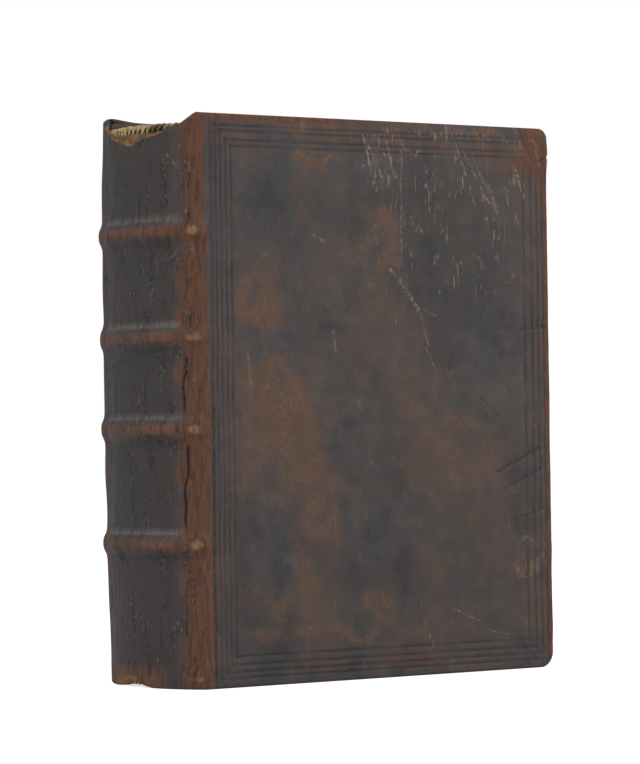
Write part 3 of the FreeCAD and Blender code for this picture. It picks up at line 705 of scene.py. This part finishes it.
def leaf_block():
    """The leaves: sheets between the rounded back and the hollow fore-edge, as one closed solid.

    For a share a from back to fore-edge and a sheet at b across the thickness, x runs between the
    two arcs and y flares at the shoulders. Gatherings step the edges a little.
    """
    half = LEAF_HIGH[1]
    sheets = np.linspace(-1, 1, 161)
    along = np.concatenate([[0, 0.002, 0.0045, 0.007], np.linspace(0.012, 0.985, 46), [0.993, 1.0]])
    b, a = np.meshgrid(sheets, along)
    gathering = 0.13 * ripple(b * 12, 0 * b, 1.1, 91) + 0.05 * ripple(b * 60, 0 * b, 1.4, 92)
    flare = (half - COVER_LEAF_HALF) * (1 - smooth(0, 0.0045, a))
    y = b * (COVER_LEAF_HALF + flare)
    back_x = AXIS - np.sqrt(LEAF_RADIUS ** 2 - (b * half) ** 2)
    hollow_deep, arc_share, arc_bend = 7.0, 0.985, 0.44

    def drop(place):
        return 1 - np.sqrt(1 - (place * arc_share) ** 2 * arc_bend)

    hollow = (LEAF_HIGH[0] - hollow_deep) + hollow_deep * drop(b) / drop(1.0)
    fore_x = np.minimum(hollow + 0.6 * gathering * smooth(0.5, 1, a), LEAF_HIGH[0] + 0.2)
    x = back_x * (1 - a) + fore_x * a
    levels = np.linspace(LEAF_LOW[2], LEAF_HIGH[2], 61)
    uneven = 0.16 * ripple(b * 28, a * 3, 3.0, 93) + 0.10 * ripple(b * 6, a, 2.0, 94)
    top = np.stack([x, y, LEAF_HIGH[2] + uneven - 0.15], axis=-1)
    bottom = np.stack([x, y, LEAF_LOW[2] - uneven * 0.6 + 0.1], axis=-1)
    rows, columns = x.shape
    edge = np.concatenate([np.arange(columns), np.arange(1, rows) * columns + columns - 1,
                           (rows - 1) * columns + np.arange(columns - 2, -1, -1),
                           np.arange(rows - 2, 0, -1) * columns])
    top_flat, bottom_flat = top.reshape(-1, 3), bottom.reshape(-1, 3)
    share = np.linspace(0, 1, len(levels))[1:-1, None, None]
    walls = bottom_flat[edge][None] * (1 - share) + top_flat[edge][None] * share
    points = np.concatenate([bottom_flat, top_flat, walls.reshape(-1, 3)])
    size = rows * columns
    ring = len(edge)
    loops = [edge] + [2 * size + level * ring + np.arange(ring) for level in range(len(levels) - 2)]
    loops.append(size + edge)
    order = np.array(loops)
    after = np.roll(order, -1, axis=1)
    wall_faces = np.stack([order[:-1].ravel(), after[:-1].ravel(), after[1:].ravel(), order[1:].ravel()], 1)
    faces = np.concatenate([grid_faces(rows, columns), grid_faces(rows, columns, first=size)[:, ::-1],
                            wall_faces])
    return points, faces


# Materials.

def srgb(text):
    """Linear colour from a written one such as 6b4e3c."""
    parts = [int(text[place:place + 2], 16) / 255 for place in (0, 2, 4)]
    linear = [part / 12.92 if part <= 0.04045 else ((part + 0.055) / 1.055) ** 2.4 for part in parts]
    return (*linear, 1.0)


# The grey 7b7772 paints a highlight just above the raised bands.
COLOURS = {name: srgb(text) for name, text in {
    "charcoal": "444140", "plum": "4b4141", "haze": "575150", "brown": "694c3a", "umber": "7d583c",
    # The darkest brown 211d1b serves for dark patches, cracks and tooled lines, and also paints shade under
    # the raised bands.
    "soot_and_shade": "211d1b", "rust": "6f452e", "rose": "794e3b", "painted_band_highlight": "7b7772", "ember": "865229",
    "tan": "ae8b60", "torn": "825432", "fray": "d2b183", "scratch": "a4968a",
    "cream": "d8c59e", "gold": "b5905c", "green": "4b4a33", "shadow": "4a351e",
    "page": "cdb88f", "page_tan": "bda274", "page_line": "7d6238", "dust": "6f6654", "foxing": "8a5f35",
}.items()}


class Value:
    """A number socket in a node tree: arithmetic on it adds Math nodes."""

    def __init__(self, finish, socket):
        self.finish = finish
        self.socket = socket

    def _math(self, operation, *inputs):
        return self.finish.node("Math", {"operation": operation}, dict(enumerate(inputs)))

    def __add__(self, other):
        return self._math("ADD", self, other)

    def __sub__(self, other):
        return self._math("SUBTRACT", self, other)

    def __rsub__(self, other):
        return self._math("SUBTRACT", other, self)

    def __mul__(self, other):
        return self._math("MULTIPLY", self, other)

    def __truediv__(self, other):
        return self._math("DIVIDE", self, other)

    def sine(self):
        return self._math("SINE", self)

    def size(self):
        return self._math("ABSOLUTE", self)

    def most(self, other):
        return self._math("MAXIMUM", self, other)

    def between(self, low, high):
        """0 below low and 1 above high, smooth between; falls instead where low is above high."""
        ends = {1: low, 2: high, 3: 0.0, 4: 1.0}
        if low > high:
            ends = {1: high, 2: low, 3: 1.0, 4: 0.0}
        return self.finish.node("MapRange", {"interpolation_type": "SMOOTHSTEP"}, {0: self, **ends})

    __radd__ = __add__
    __rmul__ = __mul__


class Finish:
    """A material under construction."""

    def __init__(self, name):
        self.material = bpy.data.materials.new(name)
        self.material.use_nodes = True
        self.tree = self.material.node_tree
        self.tree.nodes.clear()

    def link(self, socket, value):
        if isinstance(value, Value):
            self.tree.links.new(value.socket, socket)
        elif isinstance(value, bpy.types.NodeSocket):
            self.tree.links.new(value, socket)
        else:
            socket.default_value = value

    def node(self, kind, settings=None, inputs=None, output=0):
        """Any shader node: its settings first, then its sockets, by number or by name."""
        made = self.tree.nodes.new("ShaderNode" + kind)
        for name, value in (settings or {}).items():
            setattr(made, name, value)
        for key, value in (inputs or {}).items():
            self.link(made.inputs[key], value)
        return Value(self, made.outputs[output]) if len(made.outputs) else made

    def place(self):
        """Object coordinates in millimetres."""
        coordinates = self.node("TexCoord", output="Object")
        return self.node("VectorMath", {"operation": "SCALE"}, {0: coordinates, "Scale": 1000.0})

    def attribute(self, name, output="Fac"):
        return self.node("Attribute", {"attribute_name": name}, output=output)

    def parts(self, vector):
        made = self.node("SeparateXYZ", None, {0: vector})
        return [Value(self, made.socket.node.outputs[axis]) for axis in range(3)]

    def stretch(self, vector, across, up, deep=1.0):
        return self.node("VectorMath", {"operation": "MULTIPLY"}, {0: vector, 1: (across, up, deep)})

    def cloud(self, vector, size, detail=3.0, rough=0.55):
        """Noise from 0 to 1 whose features are about size mm."""
        return self.node("TexNoise", None, {"Vector": vector, "Scale": 1.0 / size, "Detail": detail,
                                            "Roughness": rough})

    def blend(self, share, first, second):
        """A mix of two colours, by a share from 0 to 1 of the second."""
        made = self.tree.nodes.new("ShaderNodeMix")
        made.data_type = "RGBA"
        self.link(made.inputs[0], share)
        self.link(made.inputs[6], first)
        self.link(made.inputs[7], second)
        return Value(self, made.outputs[2])

    def coat(self, colour, share, name):
        """A named colour laid over another by a share from 0 to 1."""
        return self.blend(share, colour, COLOURS[name])

    def scratch(self, place, start, end, half):
        """1 on a line from start to end in mm, falling to 0 at half mm from it."""
        run = np.subtract(end, start)
        length = float(run @ run)
        away = self.node("VectorMath", {"operation": "SUBTRACT"}, {0: place, 1: (*start, 0)})
        dot = self.node("VectorMath", {"operation": "DOT_PRODUCT"},
                        {0: away, 1: (run[0] / length, run[1] / length, 0)}, output="Value")
        share = self.node("Clamp", None, {0: dot})
        nearest = self.node("VectorMath", {"operation": "SCALE"}, {0: (*[float(part) for part in run], 0),
                                                                  "Scale": share})
        gap = self.node("VectorMath", {"operation": "DISTANCE"}, {0: away, 1: nearest}, output="Value")
        return gap.between(half, half * 0.25)

    def strokes(self, place, shift, lines):
        """The strongest of many lines: rows of s, z, s, z, half width and strength, moved by shift."""
        total = None
        for s_0, z_0, s_1, z_1, half, strength in lines:
            start, end = (s_0 + shift, z_0 + shift), (s_1 + shift, z_1 + shift)
            mark = self.scratch(place, start, end, half) * strength
            total = mark if total is None else total.most(mark)
        return total

    def finish(self, colour, roughness, height, bump_mm):
        """Close the material with a bump whose full height is bump_mm."""
        bump = self.node("Bump", None, {"Height": height, "Strength": 1.0, "Distance": bump_mm * MM})
        shader = self.node("BsdfPrincipled", None, {"Base Color": colour, "Roughness": roughness,
                                                    "Normal": bump, "Specular IOR Level": 0.42})
        self.node("OutputMaterial", None, {"Surface": shader})
        return self.material


def calf_finish():
    """Old calf: charcoal polish over brown, rubbed to rust and tan, cracked upright on the spine."""
    f = Finish("old_calf")
    place = f.place()
    skin = f.attribute("skin_place", "Vector")
    s, z, _ = f.parts(skin)
    past = (s - spine_middle()).size() - abs(spine_middle())
    large = f.cloud(place, 42, 2.0)
    middle = f.cloud(place, 8, 4.0, 0.6)
    small = f.cloud(place, 1.9, 3.0, 0.65)
    fine = f.cloud(place, 0.55, 2.0)
    streaks = f.cloud(f.stretch(skin, 1.0, 0.16), 1.7, 3.0, 0.6)
    spine = past.between(0.5, -4.0)
    pressed = f.attribute("pressed")

    brown = f.attribute("brown") + (middle - 0.5) * 1.3 + (large - 0.5) * 0.7 + (small - 0.5) * 0.5
    brown = brown.between(0.12, 1.05)
    rub = f.attribute("rub") * (1 - pressed * 0.5) + (middle - 0.5) * 0.7 + (streaks - 0.5) * 1.3
    rub = (rub + (small - 0.5) * 0.4).between(0.20, 1.05)
    tan = f.attribute("tan") + (small - 0.5) * 0.9 + (fine - 0.5) * 0.4
    tan = tan.between(0.30, 1.05)
    dark = (f.attribute("dark") + (middle - 0.5) * 0.9).between(0.1, 0.9)
    torn = (f.attribute("torn") + (small - 0.5) * 0.6).between(0.25, 0.65)

    # Upright cracks of the spine, broken into short lengths, with pale lips beside some of them.
    ridged = 1 - (f.cloud(f.stretch(skin, 1.0, 0.07), 1.35, 3.0, 0.6) - 0.5).size() * 16
    lengths = f.cloud(f.stretch(skin, 0.7, 0.2), 3.2, 2.0)
    cracks = ridged.between(0.0, 0.9) * lengths.between(0.47, 0.62) * spine
    lips = ridged.between(-1.6, 0.0) * lengths.between(0.50, 0.60) * spine * small.between(0.50, 0.66)
    split = 1 - (s + 7.4 - (z / 7.0).sine() * 0.9 - (z / 2.3).sine() * 0.4).size() * 1.3
    split_on = (z.between(112, 118) * z.between(141, 137)).most(z.between(64, 70) * z.between(104, 99))
    split_on = split_on.most(z.between(12, 22) * z.between(60, 40) * 0.5)
    split = split.between(0.0, 0.8) * split_on * middle.between(0.30, 0.42)
    crease = (1 - (past - 5.6 + (middle - 0.5) * 1.6).size()).between(0.0, 0.9)
    crease = crease * (0.25 + z.between(175, 90) * 0.5) * small.between(0.3, 0.6)

    # Worn hair-lines: placed scratches and creases, then a scatter of short faint ones.
    wobble_size = 2.4
    wobble = f.node("TexNoise", None, {"Vector": place, "Scale": 0.30, "Detail": 3.0, "Roughness": 0.7},
                    output="Color")
    wobble = f.node("VectorMath", {"operation": "MULTIPLY"}, {0: wobble, 1: (wobble_size, wobble_size, 0.0)})
    wander = f.node("VectorMath", {"operation": "ADD"}, {0: skin, 1: wobble})

    # A noise is 0.5 on average, so every line is moved by half of the wobble to stay in its place.
    shift = wobble_size / 2
    marks = f.strokes(wander, shift, [(*ends, half * 1.9, strength) for *ends, half, strength in SCRATCHES])
    marks = marks * streaks.between(0.34, 0.54) * small.between(0.38, 0.58)
    folds = f.strokes(wander, shift, [(*ends, 1.1, deep * 1.2) for *ends, deep in CREASES])
    hairs = 1 - (f.cloud(f.stretch(skin, 1.0, 0.14), 3.0, 1.0) - 0.5).size() * 50
    scuffed = s.between(76, 104) * s.between(188, 172) * z.between(140, 185)
    hairs = hairs.between(0.0, 1.0) * (middle + scuffed * 0.08).between(0.54, 0.66)
    flecks = f.cloud(skin, 1.1, 1.0).between(0.72, 0.80)

    # Coats of colour, from the polish up to the wear and the painted highlight that lie over everything.
    blot = f.cloud(f.stretch(place, 1.0, 1.0, 0.8), 19, 4.0, 0.62)
    board = 1 - spine
    crown = past.between(-9.0, -15.0)
    colour = f.blend(large.between(0.35, 0.62), COLOURS["charcoal"], COLOURS["plum"])
    # The coat of the dark mask also paints shade under the raised bands; the same darkest brown serves for
    # real dark patches.
    for share, name in (
            (middle.between(0.40, 0.75) * 0.4, "haze"),
            (blot.between(0.50, 0.68) * board * 0.42, "brown"),
            (blot.between(0.47, 0.33) * board * 0.40, "soot_and_shade"),
            (brown * 0.8, "brown"),
            (brown.between(0.6, 1.0) * small.between(0.45, 0.7) * 0.5, "umber"),
            (dark * 0.5 * (1 - brown * 0.5), "soot_and_shade")):
        colour = f.coat(colour, share, name)
    colour = f.blend(rub * 0.9, colour, f.blend(crown, COLOURS["rust"], COLOURS["rose"]))
    worn = (marks * 0.75).most(hairs * (scuffed * 0.34 + 0.16)).most(flecks * 0.3).most(lips * 0.28)
    # The grey line just above each raised band is a painted highlight.
    for share, name in (
            (rub * small.between(0.50, 0.75) * (1 - crown * 0.6) * 0.6, "ember"),
            (rub * streaks.between(0.52, 0.38) * (1 - crown) * 0.5, "soot_and_shade"),
            (f.attribute("painted_band_highlight") * streaks.between(0.30, 0.55) * 0.6, "painted_band_highlight"),
            (tan * 0.75, "tan"),
            (pressed * 0.68, "soot_and_shade"),
            (torn, "torn"),
            (torn * fine.between(0.45, 0.65) * 0.6, "fray"),
            ((cracks * 0.55).most(split).most(crease).most(folds), "soot_and_shade"),
            (worn, "scratch"),
            ((fine - 0.35).most(0.0) * 0.7, "soot_and_shade")):
        colour = f.coat(colour, share, name)

    pores = f.node("TexVoronoi", {"feature": "F1"}, {"Vector": place, "Scale": 1.6}, output="Distance")
    height = pores * 0.26 + small * 0.6 + middle * 1.3 - cracks * 0.8 - split * 1.6 - folds * 1.5
    height = height + torn * fine * 0.8 - crease * 0.4 + streaks * spine * 0.35
    rough = 0.46 + rub * 0.14 + torn * 0.35 + small * 0.10 + cracks * 0.2 + brown * 0.05
    return f.finish(colour, rough, height, 0.22)


def thread_finish():
    """Silk over the endband: cream and tan wraps, with painted shade at the sides of each thread turning
    with its twist, some turned dark green.
    """
    f = Finish("endband_thread")
    wrap = f.attribute("wrap")
    strand = f.attribute("strand")
    place = f.place()
    soil = f.cloud(place, 1.4, 3.0)
    _, y, _ = f.parts(place)
    pale = f.blend(soil.between(0.35, 0.65), COLOURS["cream"], COLOURS["gold"])
    dull = (y + (soil - 0.5) * 5).between(-9.0, -12.0) * (1 - (y + (soil - 0.5) * 3).between(-17.5, -20.0))
    colour = f.blend(dull * 0.85, pale, COLOURS["green"])
    # Painted shade at the sides of each thread, turning round it with the twist.
    twist = ((strand * 2.0 + wrap * 70.0).sine() * 0.5 + 0.5) * 0.35
    colour = f.coat(colour, twist, "shadow")
    return f.finish(colour, 0.75, twist, 0.12)


def leaf_finish():
    """Edges of laid-paper leaves: fine lines where sheets meet, browned and dusty outside."""
    f = Finish("leaf_edges")
    place = f.place()
    sheets = f.cloud(f.stretch(place, 0.012, 1.0, 0.012), 0.42, 3.0, 0.7)
    gatherings = f.cloud(f.stretch(place, 0.008, 1.0, 0.008), 2.6, 1.0)
    stains = f.cloud(place, 16, 3.0)
    _, _, z = f.parts(place)
    dusty = (z + (stains - 0.5) * 10).between(225, 236)
    colour = f.blend(stains.between(0.3, 0.7), COLOURS["page"], COLOURS["page_tan"])
    colour = f.coat(colour, sheets.between(0.5, 0.72) * 0.6, "page_line")
    colour = f.coat(colour, dusty * 0.45, "dust")
    return f.finish(colour, 0.86, sheets + gatherings * 1.2, 0.10)


def paper_finish(name, light, dark, size):
    """Old rag paper: mottled, with foxing spots and a soft fibre."""
    f = Finish(name)
    place = f.place()
    mottle = f.cloud(place, size, 4.0)
    foxing = f.cloud(place, 6.0, 2.0).between(0.64, 0.72)
    fibre = f.cloud(place, 0.5, 3.0)
    colour = f.blend(mottle.between(0.3, 0.75), srgb(light), srgb(dark))
    colour = f.coat(colour, foxing * 0.35, "foxing")
    return f.finish(colour, 0.85, fibre, 0.05)


def fibre_finish(name, light, dark, along):
    """Board, cord or core: coarse fibres stretched along one way, mottled between two colours."""
    f = Finish(name)
    place = f.place()
    fibre = f.cloud(f.stretch(place, *along), 0.8, 4.0, 0.7)
    mottle = f.cloud(place, 5.0, 3.0)
    colour = f.blend((fibre + (mottle - 0.5) * 0.6).between(0.3, 0.7), srgb(dark), srgb(light))
    return f.finish(colour, 0.9, fibre, 0.2)


def dress(node, material):
    """Give a CAD node one procedural material in all its slots."""
    piece = frame["nodes"][node]
    if not piece.data.materials:
        piece.data.materials.append(material)
    for index in range(len(piece.data.materials)):
        piece.data.materials[index] = material


# Settings that a user would change.

class CalfSettings(bpy.types.PropertyGroup):
    fineness: FloatProperty(name="Fineness", description="How close the grid of the calf is", default=1.0,
                            min=0.4, max=1.2)


class EndbandSettings(bpy.types.PropertyGroup):
    pitch: FloatProperty(name="Pitch", description="Distance between wraps of thread, in metres",
                         default=0.0028, min=0.001, max=0.004, unit="LENGTH")
    thread: FloatProperty(name="Thread", description="Radius of the thread, in metres", default=0.00068,
                          min=0.0002, max=0.001, unit="LENGTH")


class StageSettings(bpy.types.PropertyGroup):
    key_power: FloatProperty(name="Key light", description="Power of the large soft light", default=19.0,
                             min=0.0, unit="POWER")
    floor_size: FloatProperty(name="Floor", description="Width of the floor, in metres", default=24.0,
                              min=2.0, unit="LENGTH")


class BOOK_OT_calf(bpy.types.Operator):
    """Make the calf of spine and covers, torn, rubbed and blind-tooled"""
    bl_idname = "book.calf"
    bl_label = "Calf"

    def execute(self, context):
        fine = context.scene.book_calf.fineness
        material = calf_finish()
        for name, is_front, cover, nodes in (
                ("calf_front", True, "front_cover", ("front_cover_leather", "spine_leather")),
                ("calf_back", False, "back_cover", ("back_cover_leather",))):
            points, faces, masks = calf_half(is_front, fine)
            piece = mesh_object(name, points, faces, masks=masks)
            piece.data.materials.append(material)
            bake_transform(piece)
            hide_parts(*nodes)
        return {"FINISHED"}


class BOOK_OT_leaves(bpy.types.Operator):
    """Make the block of leaves, and give the papers, boards and cords their finishes"""
    bl_idname = "book.leaves"
    bl_label = "Leaves and papers"

    def execute(self, context):
        points, faces = leaf_block()
        piece = mesh_object("leaf_block", points, faces, "leaves")
        piece.data.materials.append(leaf_finish())
        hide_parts("text_block")
        endpaper = paper_finish("endpaper_rag", "cdbb95", "b39a6c", 30)
        lining = paper_finish("lining_rag", "937149", "5f452a", 8)
        board = fibre_finish("pasteboard_fibre", "ab9470", "80684a", (1.0, 0.3, 0.3))
        hemp = fibre_finish("hemp_fibre", "b0925f", "6e5431", (0.6, 0.25, 1.6))
        core = fibre_finish("core_fibre", "6e5433", "3b2c1a", (0.6, 0.25, 1.6))
        for side in ("front", "back"):
            dress(f"{side}_pastedown", endpaper)
            dress(f"{side}_board", board)
        for number in range(1, 6):
            dress(f"spine_lining_{number}", lining)
        for number in range(1, 5):
            dress(f"sewing_cord_{number}", hemp)
        for end in ("head", "tail"):
            dress(f"{end}_endband_core", core)
        return {"FINISHED"}


class BOOK_OT_endbands(bpy.types.Operator):
    """Wind the thread of both endbands over their cores"""
    bl_idname = "book.endbands"
    bl_label = "Endbands"

    def execute(self, context):
        settings = context.scene.book_endbands
        material = thread_finish()
        for end, seed in (("head", 101), ("tail", 102)):
            low, high = (np.array(corner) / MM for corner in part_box(f"{end}_endband_thread"))
            tall = high[2] - low[2]
            radius = settings.thread / MM * (1.0 if end == "head" else 0.75)
            tie_down = 1.7 if end == "head" else 0.0
            points, faces, masks = wound_thread(tall, low[2], radius, settings.pitch / MM, tie_down, seed)
            piece = mesh_object(f"{end}_endband_wraps", points, faces, "leaves", masks)
            piece.data.materials.append(material)
            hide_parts(f"{end}_endband_thread")
        return {"FINISHED"}


class BOOK_OT_stage(bpy.types.Operator):
    """Set the pale floor, the soft lights and the camera of the photograph"""
    bl_idname = "book.stage"
    bl_label = "Stage"

    def execute(self, context):
        scene = context.scene
        settings = scene.book_stage
        scene.view_settings.view_transform = "Standard"
        half = settings.floor_size / 2
        mesh = bpy.data.meshes.new("studio_floor")
        mesh.from_pydata([(-half, -half, 0), (half, -half, 0), (half, half, 0), (-half, half, 0)], [],
                         [(0, 1, 2, 3)])
        floor = bpy.data.objects.new("studio_floor", mesh)
        scene.collection.objects.link(floor)
        mesh.materials.append(floor_finish())
        world_light(scene)
        soft_light("key_light", (-0.9, -1.3, 1.9), 1.2, settings.key_power)
        soft_light("fill_light", (1.6, -1.3, 0.9), 1.4, settings.key_power * 0.56)
        soft_light("back_light", (-1.7, 0.9, 1.2), 1.2, settings.key_power * 0.35)
        scene.camera = photo_camera(scene)
        return {"FINISHED"}


def floor_finish():
    """Pale floor: plain and matt, with enough light of its own for the camera to read as white."""
    f = Finish("pale_floor")
    paths = f.node("LightPath")
    outputs = paths.socket.node.outputs
    seen = Value(f, outputs["Is Camera Ray"])
    plain = f.node("BsdfDiffuse", None, {"Color": (0.8, 0.8, 0.8, 1)})
    glow = f.node("Emission", None, {"Color": (1, 1, 1, 1), "Strength": seen * 0.72})
    both = f.node("AddShader", None, {0: plain, 1: glow})
    f.node("OutputMaterial", None, {"Surface": both})
    return f.material


def world_light(scene):
    """Even light from all round, white to the camera."""
    world = bpy.data.worlds.new("studio")
    scene.world = world
    world.use_nodes = True
    tree = world.node_tree
    tree.nodes.clear()
    paths = tree.nodes.new("ShaderNodeLightPath")
    level = tree.nodes.new("ShaderNodeMapRange")
    tree.links.new(paths.outputs["Is Camera Ray"], level.inputs[0])
    level.inputs[3].default_value = 0.36
    level.inputs[4].default_value = 1.0
    back = tree.nodes.new("ShaderNodeBackground")
    back.inputs["Color"].default_value = (1, 1, 1, 1)
    tree.links.new(level.outputs[0], back.inputs["Strength"])
    out = tree.nodes.new("ShaderNodeOutputWorld")
    tree.links.new(back.outputs[0], out.inputs["Surface"])


def soft_light(name, place, size, power):
    """Square soft light aimed at the middle of the book."""
    lamp = bpy.data.lights.new(name, "AREA")
    lamp.shape = "SQUARE"
    lamp.size = size
    lamp.energy = power
    light = bpy.data.objects.new(name, lamp)
    bpy.context.scene.collection.objects.link(light)
    light.location = place
    light.rotation_euler = (Vector((0, 0, 0.12)) - Vector(place)).to_track_quat("-Z", "Y").to_euler()


def photo_camera(scene):
    """Camera of the photograph, fitted to the six outer corners of the book that it shows."""
    turn, tilt, roll = (math.radians(angle) for angle in (-38.543, -0.620, -0.804))
    back = Vector((math.sin(turn) * math.cos(tilt), -math.cos(turn) * math.cos(tilt), math.sin(tilt)))
    right = Vector((math.cos(turn), math.sin(turn), 0))
    up = back.cross(right)
    across = math.cos(roll) * right + math.sin(roll) * up
    upright = -math.sin(roll) * right + math.cos(roll) * up
    place = Vector((0, 0, 0.12)) + 1.6813 * back - 0.00117 * right + 0.00795 * up
    lens = bpy.data.cameras.new("photo_camera")
    lens.sensor_fit = "AUTO"
    lens.sensor_width = 36.0
    lens.lens = 181.56
    lens.clip_end = 100.0
    camera = bpy.data.objects.new("photo_camera", lens)
    scene.collection.objects.link(camera)
    camera.matrix_world = Matrix((
        (across.x, upright.x, back.x, place.x), (across.y, upright.y, back.y, place.y),
        (across.z, upright.z, back.z, place.z), (0, 0, 0, 1)))
    return camera


class BOOK_PT_panel(bpy.types.Panel):
    """Pieces of the book, in the sidebar"""
    bl_idname = "BOOK_PT_panel"
    bl_label = "Book"
    bl_space_type = "VIEW_3D"
    bl_region_type = "UI"
    bl_category = "Book"

    def draw(self, context):
        for operator in OPERATORS:
            self.layout.operator(operator.bl_idname)
        for group in ("book_calf", "book_endbands", "book_stage"):
            settings = getattr(context.scene, group)
            for name in settings.bl_rna.properties.keys():
                if name not in ("rna_type", "name"):
                    self.layout.prop(settings, name)


OPERATORS = (BOOK_OT_calf, BOOK_OT_leaves, BOOK_OT_endbands, BOOK_OT_stage)
SETTINGS = {"book_calf": CalfSettings, "book_endbands": EndbandSettings, "book_stage": StageSettings}


def register():
    for made in (*SETTINGS.values(), *OPERATORS, BOOK_PT_panel):
        bpy.utils.register_class(made)
    for name, group in SETTINGS.items():
        setattr(bpy.types.Scene, name, PointerProperty(type=group))


def unregister():
    for name in SETTINGS:
        delattr(bpy.types.Scene, name)
    for made in reversed((*SETTINGS.values(), *OPERATORS, BOOK_PT_panel)):
        bpy.utils.unregister_class(made)


def main():
    register()
    bpy.ops.book.stage()
    bpy.ops.book.calf()
    bpy.ops.book.leaves()
    bpy.ops.book.endbands()


if __name__ == "__main__":
    main()
